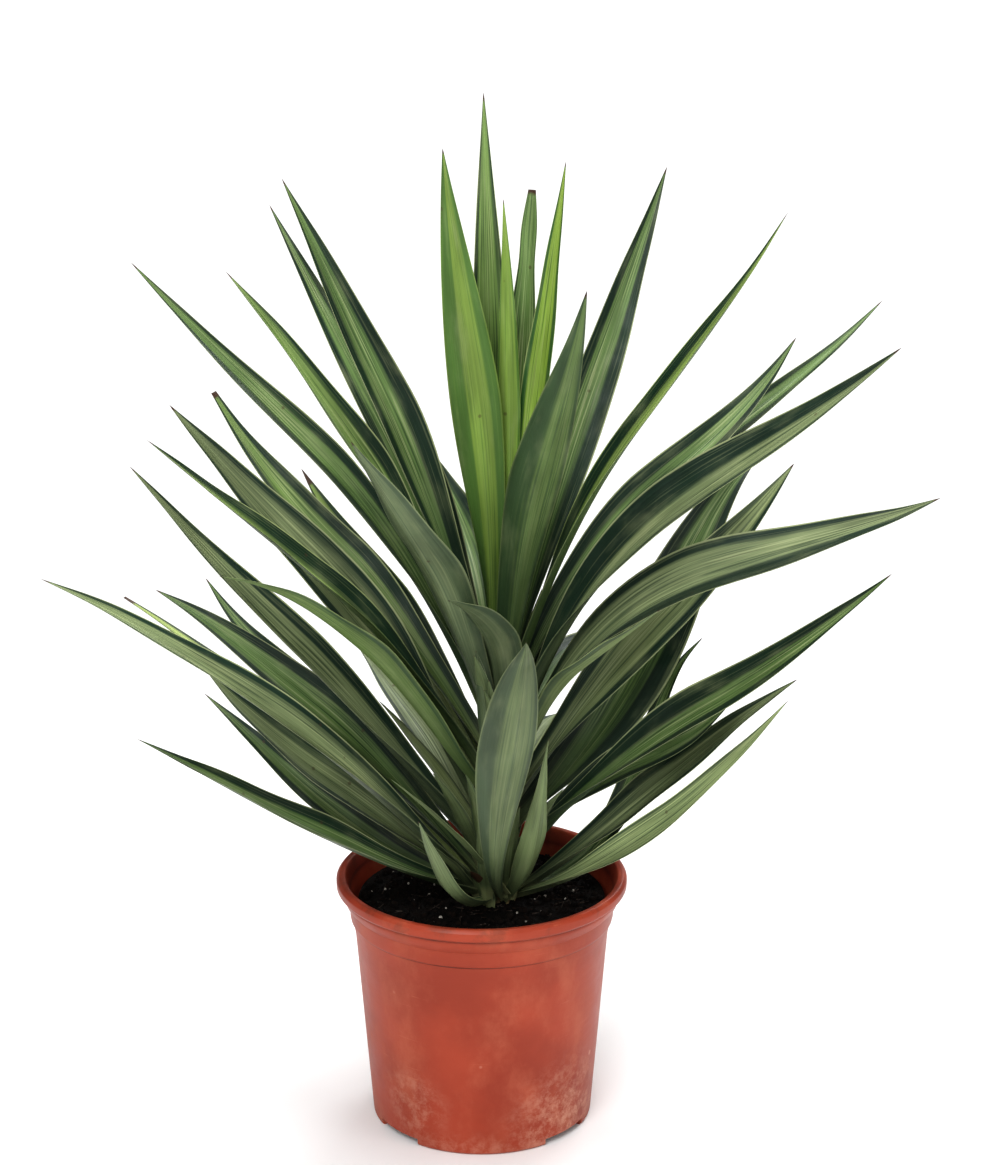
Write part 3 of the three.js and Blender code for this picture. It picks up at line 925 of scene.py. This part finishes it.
SHEATHS = 44
SHEATHED = 0.19  # how far up the stem they go
SHEATH_SEED, SHOOT_SEED = 500, 800  # each blade's seed counts on from here
SMALL_WAVE = 0.0003  # edge wave of the small blades


class YUCCA_OT_sheaths(bpy.types.Operator):
    """Add the short clasping scales that cover the stem between the leaves"""

    bl_idname = "yucca.sheaths"
    bl_label = "Stem sheaths"
    bl_options = {"REGISTER", "UNDO"}

    def execute(self, context):
        thickness = context.scene.yucca_leaves.thickness * 0.7
        bm = bmesh.new()
        rng = random.Random(11)
        for i in range(SHEATHS):
            z = SOIL_HIGH.z - 0.004 + SHEATHED * i / SHEATHS
            bearing = i * GOLDEN_ANGLE
            heading = Vector((math.cos(bearing), math.sin(bearing), 0))
            foot = Vector((STEM_X, STEM_Y, z)) + heading * (cane_radius(z) - 0.0015)
            reach = rng.uniform(0.026, 0.038)
            tip = foot + heading * (0.10 * reach + 0.003) + Vector((0, 0, reach))
            look = {
                "light": rng.uniform(0.45, 0.7),
                "warm": rng.uniform(0, 0.25),
                "band": 0.8,
                "shift": 0,
                "brown": rng.uniform(0.05, 0.25),
            }
            sections = path_sections(foot, tip, 0.002, rng.uniform(0.013, 0.017), fold=0.35)
            blade(bm, sections, look, SHEATH_SEED + i, thickness, SMALL_WAVE, rows=12, columns=6)
        bmesh.ops.recalc_face_normals(bm, faces=bm.faces)
        finished("stem_sheaths", bm, leaf_materials()["grey"], "grey_leaf", sharp=60)
        return {"FINISHED"}


# Small shoots in front of the stem: foot, tip, width, how bright, share dried
SHOOTS = (
    ((0.010, -0.024, 0.236), (0.005, -0.060, 0.322), 0.011, 0.6, 0.02),
    ((0.004, -0.026, 0.158), (-0.001, -0.070, 0.234), 0.010, 0.7, 0.02),
    ((0.016, -0.024, 0.160), (0.0245, -0.060, 0.238), 0.008, 0.8, 0.02),
    ((0.020, -0.022, 0.158), (0.031, -0.056, 0.222), 0.008, 0.75, 0.02),
    ((0.004, -0.022, 0.152), (-0.008, -0.040, 0.186), 0.014, 0.9, 0.45),
    ((-0.004, -0.014, 0.156), (-0.040, -0.060, 0.216), 0.012, 0.5, 0.02),
    ((0.000, -0.020, 0.178), (-0.030, -0.064, 0.262), 0.014, 0.5, 0.02),
    ((0.024, -0.014, 0.180), (0.052, -0.060, 0.250), 0.012, 0.45, 0.02),
    ((0.008, -0.030, 0.270), (-0.004, -0.072, 0.342), 0.011, 0.6, 0.02),
    ((0.012, -0.030, 0.254), (0.002, -0.062, 0.316), 0.009, 0.55, 0.02),
    ((0.016, -0.030, 0.166), (-0.057, -0.075, 0.263), 0.012, 0.6, 0.02),
    ((0.009, -0.004, 0.177), (-0.067, 0.020, 0.280), 0.018, 0.35, 0.02),
    ((0.012, -0.004, 0.196), (-0.037, 0.030, 0.299), 0.017, 0.35, 0.02),
    ((0.016, -0.006, 0.235), (0.039, 0.020, 0.356), 0.016, 0.4, 0.02),
)


class YUCCA_OT_shoots(bpy.types.Operator):
    """Add the small shoots in front of the stem"""

    bl_idname = "yucca.shoots"
    bl_label = "Small shoots"
    bl_options = {"REGISTER", "UNDO"}

    def execute(self, context):
        thickness = context.scene.yucca_leaves.thickness * 0.8
        bm = bmesh.new()
        for i, (foot, tip, width, light, brown) in enumerate(SHOOTS):
            look = {"light": light, "warm": 0.2, "band": 0.8, "shift": 0, "brown": brown}
            sections = path_sections(foot, tip, 0.004, width, fold=0.3)
            blade(bm, sections, look, SHOOT_SEED + i, thickness, SMALL_WAVE, rows=24, columns=8)
        bmesh.ops.recalc_face_normals(bm, faces=bm.faces)
        finished("small_shoots", bm, leaf_materials()["grey"], "grey_leaf", sharp=60)
        return {"FINISHED"}


class YUCCA_OT_stem(bpy.types.Operator):
    """Add the cane, ringed with leaf scars"""

    bl_idname = "yucca.stem"
    bl_label = "Stem"
    bl_options = {"REGISTER", "UNDO"}

    def execute(self, context):
        top, bottom = STEM_HIGH.z, STEM_LOW.z + 0.0005
        profile = [(0, bottom), (0.006, bottom + 0.0005), (0.0115, SOIL_HIGH.z - 0.032)]
        z = SOIL_HIGH.z - 0.02
        while z < top - 0.006:
            profile += [(cane_radius(z) - RING_CUT, z), (cane_radius(z), z + RING_RISE)]
            z += RING_PITCH
        profile += [(0.0035, top - 0.001), (0, top - 0.0004)]
        bm = spun(profile, steps=48)
        for v in bm.verts:
            push = 1 + 0.05 * noise.noise(Vector((v.co.x * 160, v.co.y * 160, v.co.z * 60)))
            v.co.x, v.co.y = v.co.x * push, v.co.y * push
        bmesh.ops.translate(bm, verts=bm.verts, vec=(STEM_X, STEM_Y, 0))
        finished("cane", bm, bark(context.scene.yucca_leaves), "stem", "stem")
        return {"FINISHED"}


# The pot

NOTCH_BEARINGS = (50, 130, -50, -130)  # degrees from the front
NOTCH_SPAN = math.radians(30)
STEP_WIDTH = 0.002
CHANNEL = 0.003  # height of the drain channel under the pot
PAD_RADIUS = 0.03  # flat middle of the underside


def pot_profile(s):
    """Half section of the pot as (radius, height) points, up the outside and down the inside."""
    rim, foot, wall = s.rim_radius, s.foot_radius, s.wall
    lip = s.height - s.lip_depth
    step = s.height - s.collar_height
    collar = rim - s.collar_inset
    shoulder = collar - STEP_WIDTH
    body, body_top = shoulder - 0.0017, step - 0.0095
    floor = CHANNEL + wall
    slope = (body - foot) / body_top
    return [
        (0, 0),
        (PAD_RADIUS, 0),
        (PAD_RADIUS + 0.003, CHANNEL),
        (foot - 0.009, CHANNEL),
        (foot - 0.006, 0),
        (foot - 0.0015, 0),
        (foot + slope * 0.0015, 0.0015),
        (body, body_top),
        (shoulder, step - 0.0014),
        (shoulder + 0.0002, step - 0.0003),
        (collar - 0.0008, step + 0.0002),
        (collar - 0.0004, step + 0.002),
        (collar, lip - 0.011),
        (rim - 0.0056, lip - 0.0082),
        (rim - 0.0036, lip - 0.0034),
        (rim - 0.0038, lip - 0.0012),
        (rim - 0.0012, lip - 0.0004),
        (rim, lip + 0.0012),
        (rim, s.height - 0.0024),
        (rim - 0.0018, s.height - 0.0002),
        (rim - s.lip_width / 2, s.height),
        (rim - s.lip_width, s.height - 0.0004),
        (rim - s.lip_width - 0.0009, s.height - 0.0018),
        (collar - wall, lip - 0.006),
        (shoulder - wall, step),
        (body - wall, body_top),
        (foot + slope * floor - wall, floor),
        (PAD_RADIUS + 0.002, floor),
        (PAD_RADIUS - 0.001, wall),
        (0, wall),
    ]


def notch_cutter(s):
    """Wedges of a ring that cut the drain openings through the foot."""
    bm = bmesh.new()
    inner, outer, top = s.foot_radius - 0.0075, s.foot_radius + 0.012, s.notch_height
    for bearing in NOTCH_BEARINGS:
        start = math.radians(bearing) - math.pi / 2 - NOTCH_SPAN / 2
        turn = Matrix.Rotation(start, 3, "Z")
        corners = [(inner, 0, -0.001), (outer, 0, -0.001), (outer, 0, top), (inner, 0, top)]
        face = bm.faces.new([bm.verts.new(turn @ Vector(corner)) for corner in corners])
        bmesh.ops.spin(
            bm, geom=[face], cent=(0, 0, 0), axis=(0, 0, 1), angle=NOTCH_SPAN, steps=8
        )
    bmesh.ops.remove_doubles(bm, verts=bm.verts, dist=1e-6)
    bmesh.ops.recalc_face_normals(bm, faces=bm.faces)
    mesh = bpy.data.meshes.new("notch_cutter")
    bm.to_mesh(mesh)
    bm.free()
    cutter = bpy.data.objects.new("notch_cutter", mesh)
    bpy.context.scene.collection.objects.link(cutter)
    return cutter


class YUCCA_OT_pot(bpy.types.Operator):
    """Add the nursery pot, with its rolled lip, step and drain openings"""

    bl_idname = "yucca.pot"
    bl_label = "Pot"
    bl_options = {"REGISTER", "UNDO"}

    def execute(self, context):
        sizes = context.scene.yucca_pot
        bm = spun(pot_profile(sizes), steps=144)
        rounded = [
            e
            for e in bm.edges
            if e.calc_face_angle(0) > math.radians(24)
            and abs(e.verts[0].co.z - e.verts[1].co.z) < 1e-6
            and e.verts[0].co.z > sizes.notch_height + 0.001
        ]
        bmesh.ops.bevel(
            bm,
            geom=rounded,
            offset=0.0004,
            offset_type="OFFSET",
            affect="EDGES",
            segments=2,
            profile=0.5,
            material=-1,
            clamp_overlap=True,
        )
        pot = finished("nursery_pot", bm, pot_plastic(sizes), "pot", "pot", sharp=40)
        cutter = notch_cutter(sizes)
        cut = pot.modifiers.new("drain_openings", "BOOLEAN")
        cut.operation, cut.solver, cut.object = "DIFFERENCE", "EXACT", cutter
        graph = context.evaluated_depsgraph_get()
        whole = pot.data
        pot.data = bpy.data.meshes.new_from_object(pot.evaluated_get(graph), depsgraph=graph)
        pot.modifiers.clear()
        pot.data.name = "nursery_pot"
        pot.data.set_sharp_from_angle(angle=math.radians(40))
        bpy.data.meshes.remove(whole)
        bpy.data.objects.remove(cutter)
        return {"FINISHED"}


# The soil

SOIL_RINGS = 44
SOIL_SIDE = 0.129  # height where the soil's side starts to narrow with the pot


def soil_level(x, y, lumps):
    """Height of the soil's lumpy surface: a low dome round the stem, sunk a little at the wall."""
    radius = math.hypot(x, y)
    edge = SOIL_HIGH.x
    dome = SOIL_HIGH.z - 0.0012 - 0.003 * (radius / edge) ** 2
    spot = Vector((x, y, 0))
    rough = noise.fractal(spot * 42, 0.9, 2.1, 4) * lumps * 0.55
    crust = noise.turbulence(spot * 210, 3, False) * lumps * 0.35
    settle = min(max((edge - radius) / 0.006, 0), 1)
    return dome + (rough + crust - lumps * 0.2) * settle


def scatter(count, seed, smallest, largest, edge):
    """Seeded spots on the soil: a random source, and x, y and size for each."""
    rng = random.Random(seed)
    for _ in range(count):
        radius = edge * math.sqrt(rng.random())
        bearing = rng.uniform(0, math.tau)
        size = smallest + (largest - smallest) * rng.random() ** 3
        yield rng, radius * math.cos(bearing), radius * math.sin(bearing), size


def any_turn(rng):
    return Euler([rng.uniform(0, math.tau) for _ in range(3)])


def pebbles(name, spots, lumps, lift, roundest, subdivisions, made_of):
    """One piece of small lumps lying on the soil, each squashed and turned at random."""
    bm = bmesh.new()
    for rng, x, y, size in spots:
        place = Vector((x, y, soil_level(x, y, lumps) + size * lift))
        stretch = Vector([size * rng.uniform(roundest, 1) for _ in range(3)])
        matrix = Matrix.LocRotScale(place, any_turn(rng), stretch)
        bmesh.ops.create_icosphere(bm, subdivisions=subdivisions, radius=1, matrix=matrix)
    finished(name, bm, made_of, "soil", sharp=60)


class YUCCA_OT_soil(bpy.types.Operator):
    """Add the potting soil, with its crumbs, fibres and mineral grains"""

    bl_idname = "yucca.soil"
    bl_label = "Soil"
    bl_options = {"REGISTER", "UNDO"}

    def execute(self, context):
        soil = context.scene.yucca_soil
        edge, bottom = SOIL_HIGH.x, SOIL_LOW.z
        foot = context.scene.yucca_pot.foot_radius - 0.003
        surface = [(edge * (i / SOIL_RINGS), SOIL_HIGH.z) for i in range(SOIL_RINGS + 1)]
        below = [(edge, SOIL_HIGH.z - 0.006), (edge, SOIL_SIDE), (foot, bottom), (0, bottom)]
        bm = spun(surface + below, steps=160)
        for v in bm.verts:
            if v.co.z > SOIL_HIGH.z - 0.001:
                v.co.z = soil_level(v.co.x, v.co.y, soil.lumps)
        damp = peat("damp_peat", soil.peat, soil.peat_dry, 0.35)
        finished("potting_soil", bm, damp, "soil", "soil", sharp=70)

        spots = scatter(soil.crumbs, seed=3, smallest=0.0007, largest=0.0042, edge=edge - 0.004)
        crumbly = peat("peat_crumbs", soil.peat, soil.peat_dry, 0.6)
        pebbles("soil_crumbs", spots, soil.lumps, 0.2, 0.6, 1, crumbly)

        bm = bmesh.new()
        spots = scatter(soil.fibres, seed=5, smallest=0.004, largest=0.02, edge=edge - 0.012)
        for rng, x, y, size in spots:
            place = Vector((x, y, soil_level(x, y, soil.lumps) + 0.0009))
            turn = Euler((math.pi / 2 + rng.uniform(-0.25, 0.25), 0, rng.uniform(0, math.tau)))
            matrix = Matrix.LocRotScale(place, turn, None)
            bmesh.ops.create_cone(
                bm,
                cap_ends=True,
                segments=5,
                radius1=0.00045,
                radius2=0.0002,
                depth=size,
                matrix=matrix,
            )
        finished("peat_fibres", bm, peat("dry_fibres", soil.peat_dry, soil.grain, 0.2), "soil")

        spots = scatter(soil.grains, seed=8, smallest=0.0008, largest=0.002, edge=edge - 0.006)
        pebbles("mineral_grains", spots, soil.lumps, 0.7, 0.7, 2, mineral(soil))
        return {"FINISHED"}


# The stage

FLOOR_RADIUS = 12
GLOW_RADII = (0.45, 1.3)  # from where to where the floor brightens to plain white


def softbox(name, place, target, width, watts):
    lamp = bpy.data.lights.new(name, "AREA")
    lamp.shape, lamp.size, lamp.energy = "SQUARE", width, watts
    made = bpy.data.objects.new(name, lamp)
    made.location = place
    made.rotation_euler = (Vector(target) - Vector(place)).to_track_quat("-Z", "Y").to_euler()
    bpy.context.scene.collection.objects.link(made)


class YUCCA_OT_stage(bpy.types.Operator):
    """Add the floor, the soft lights and the camera"""

    bl_idname = "yucca.stage"
    bl_label = "Stage"
    bl_options = {"REGISTER", "UNDO"}

    def execute(self, context):
        stage = context.scene.yucca_stage
        bm = bmesh.new()
        bmesh.ops.create_circle(bm, cap_ends=True, segments=96, radius=FLOOR_RADIUS)
        mesh = bpy.data.meshes.new("floor")
        bm.to_mesh(mesh)
        bm.free()
        mesh.materials.append(floor_paint(stage.floor))
        floor = bpy.data.objects.new("floor", mesh)
        context.scene.collection.objects.link(floor)

        world = bpy.data.worlds.new("studio")
        world.use_nodes = True
        tree = world.node_tree
        sky = tree.nodes["Background"].inputs
        sky["Color"].default_value = (1, 1, 1, 1)
        seen = node(tree, "LightPath").outputs["Is Camera Ray"]
        lit = node(tree, "MapRange", {"Value": seen, "To Min": stage.sky, "To Max": 1.0})
        tree.links.new(lit.outputs[0], sky["Strength"])
        context.scene.world = world
        context.scene.view_settings.view_transform = "Standard"
        context.scene.view_settings.look = "Medium High Contrast"
        softbox("key_light", (-0.6, -2.0, 1.9), (0, 0, 0.3), 1.5, stage.key)
        softbox("fill_light", (1.8, -1.3, 0.9), (0, 0, 0.25), 1.3, stage.fill)
        softbox("top_light", (0.1, 0.2, 2.3), (0, 0, 0.3), 1.4, stage.top)
        softbox("back_light", (0.9, 1.9, 1.7), (0, 0, 0.35), 1.2, stage.back)

        lens = bpy.data.cameras.new("camera")
        lens.lens, lens.sensor_width = stage.lens, 36
        camera = bpy.data.objects.new("camera", lens)
        camera.location = stage.eye
        camera.rotation_euler = (math.pi / 2 - stage.tilt, 0, 0)
        context.scene.collection.objects.link(camera)
        context.scene.camera = camera
        return {"FINISHED"}


# The panel, and running it all

OPERATORS = (
    YUCCA_OT_pot,
    YUCCA_OT_soil,
    YUCCA_OT_stem,
    YUCCA_OT_sheaths,
    YUCCA_OT_shoots,
    YUCCA_OT_heart_leaves,
    YUCCA_OT_crown_leaves,
    YUCCA_OT_middle_leaves,
    YUCCA_OT_skirt_leaves,
    YUCCA_OT_front_leaves,
    YUCCA_OT_back_leaves,
    YUCCA_OT_stage,
)
SETTINGS = {
    "yucca_pot": YuccaPot,
    "yucca_soil": YuccaSoil,
    "yucca_leaves": YuccaLeaves,
    "yucca_stage": YuccaStage,
}


class YUCCA_PT_sidebar(bpy.types.Panel):
    """The yucca's pieces, and the sizes and colours they are made with"""

    bl_label = "Potted yucca"
    bl_idname = "YUCCA_PT_sidebar"
    bl_space_type = "VIEW_3D"
    bl_region_type = "UI"
    bl_category = "Yucca"

    def draw(self, context):
        for operator in OPERATORS:
            self.layout.operator(operator.bl_idname)
        for name, kind in SETTINGS.items():
            box = self.layout.box()
            box.label(text=kind.__doc__)
            for key in kind.__annotations__:
                box.prop(getattr(context.scene, name), key)


def register():
    for made in (*SETTINGS.values(), *OPERATORS, YUCCA_PT_sidebar):
        bpy.utils.register_class(made)
    for name, kind in SETTINGS.items():
        setattr(bpy.types.Scene, name, PointerProperty(type=kind))


def unregister():
    for name in SETTINGS:
        delattr(bpy.types.Scene, name)
    for made in (YUCCA_PT_sidebar, *reversed(OPERATORS), *SETTINGS.values()):
        bpy.utils.unregister_class(made)


def main():
    register()
    for operator in OPERATORS:
        getattr(bpy.ops.yucca, operator.bl_idname.split(".")[1])()


if __name__ == "__main__":
    main()
